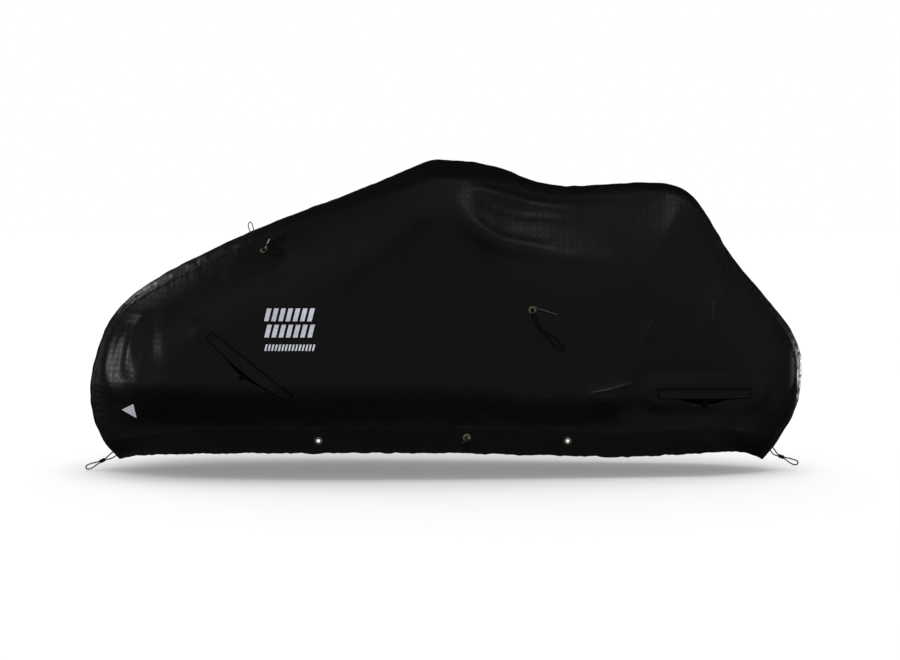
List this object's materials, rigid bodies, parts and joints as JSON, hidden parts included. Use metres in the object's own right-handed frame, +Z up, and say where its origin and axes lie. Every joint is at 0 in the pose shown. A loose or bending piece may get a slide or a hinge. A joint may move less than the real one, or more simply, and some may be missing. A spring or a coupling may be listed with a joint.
{
  "type": "bicycle cover",
  "caption": "Fitted, hollow weather cover of coated cloth for a long bicycle, with flaps over lock slits, brass eyelets and elastic cords.",
  "frame": {"origin": "the mount that holds the cover up: just inside the cloth, under its highest point", "axes": "+X towards the cover's tail, -X towards its nose, +Y towards its right side, +Z up"},
  "size_m": [2.5724, 0.6958, 1.1085],
  "materials": {
    "cloth": "black coated ripstop, slightly glossy",
    "hem_facing": "black coated cloth, matt",
    "webbing": "black woven webbing",
    "brass": "satin",
    "elastic_cord": "black braided sleeve",
    "cord_lock": "moulded",
    "toggle_bar": "pale, moulded"
  },
  "bodies": {
    "root": {"gusset": "cloth", "panel_left": "cloth", "panel_right": "cloth", "hem_left": "hem_facing", "hem_right": "hem_facing", "flap_front_left": "cloth", "tab_front_left": "webbing", "flap_rear_left": "cloth", "tab_rear_left": "webbing", "flap_front_right": "cloth", "tab_front_right": "webbing", "flap_rear_right": "cloth", "tab_rear_right": "webbing", "eyelet_bow_left": "brass", "eyelet_side_left": "brass", "eyelet_hem_front_left": "brass", "eyelet_hem_middle_left": "brass", "eyelet_hem_rear_left": "brass", "eyelet_bow_right": "brass", "eyelet_side_right": "brass", "eyelet_hem_front_right": "brass", "eyelet_hem_middle_right": "brass", "eyelet_hem_rear_right": "brass", "cord_nose": "elastic_cord", "cord_tail": "elastic_cord", "cord_bow_left": "elastic_cord", "knot_bow_left": "elastic_cord", "bar_bow_left": "toggle_bar", "cord_side_left": "elastic_cord", "knot_side_left": "elastic_cord", "bar_side_left": "toggle_bar", "cord_hem_middle_left": "elastic_cord", "knot_hem_middle_left": "elastic_cord", "bar_hem_middle_left": "toggle_bar", "cord_bow_right": "elastic_cord", "knot_bow_right": "elastic_cord", "bar_bow_right": "toggle_bar", "cord_side_right": "elastic_cord", "knot_side_right": "elastic_cord", "bar_side_right": "toggle_bar", "cord_hem_middle_right": "elastic_cord", "knot_hem_middle_right": "elastic_cord", "bar_hem_middle_right": "toggle_bar", "lock_nose": "cord_lock", "lock_tail": "cord_lock", "lock_side_left": "cord_lock", "lock_side_right": "cord_lock"}
  },
  "joints": []
}
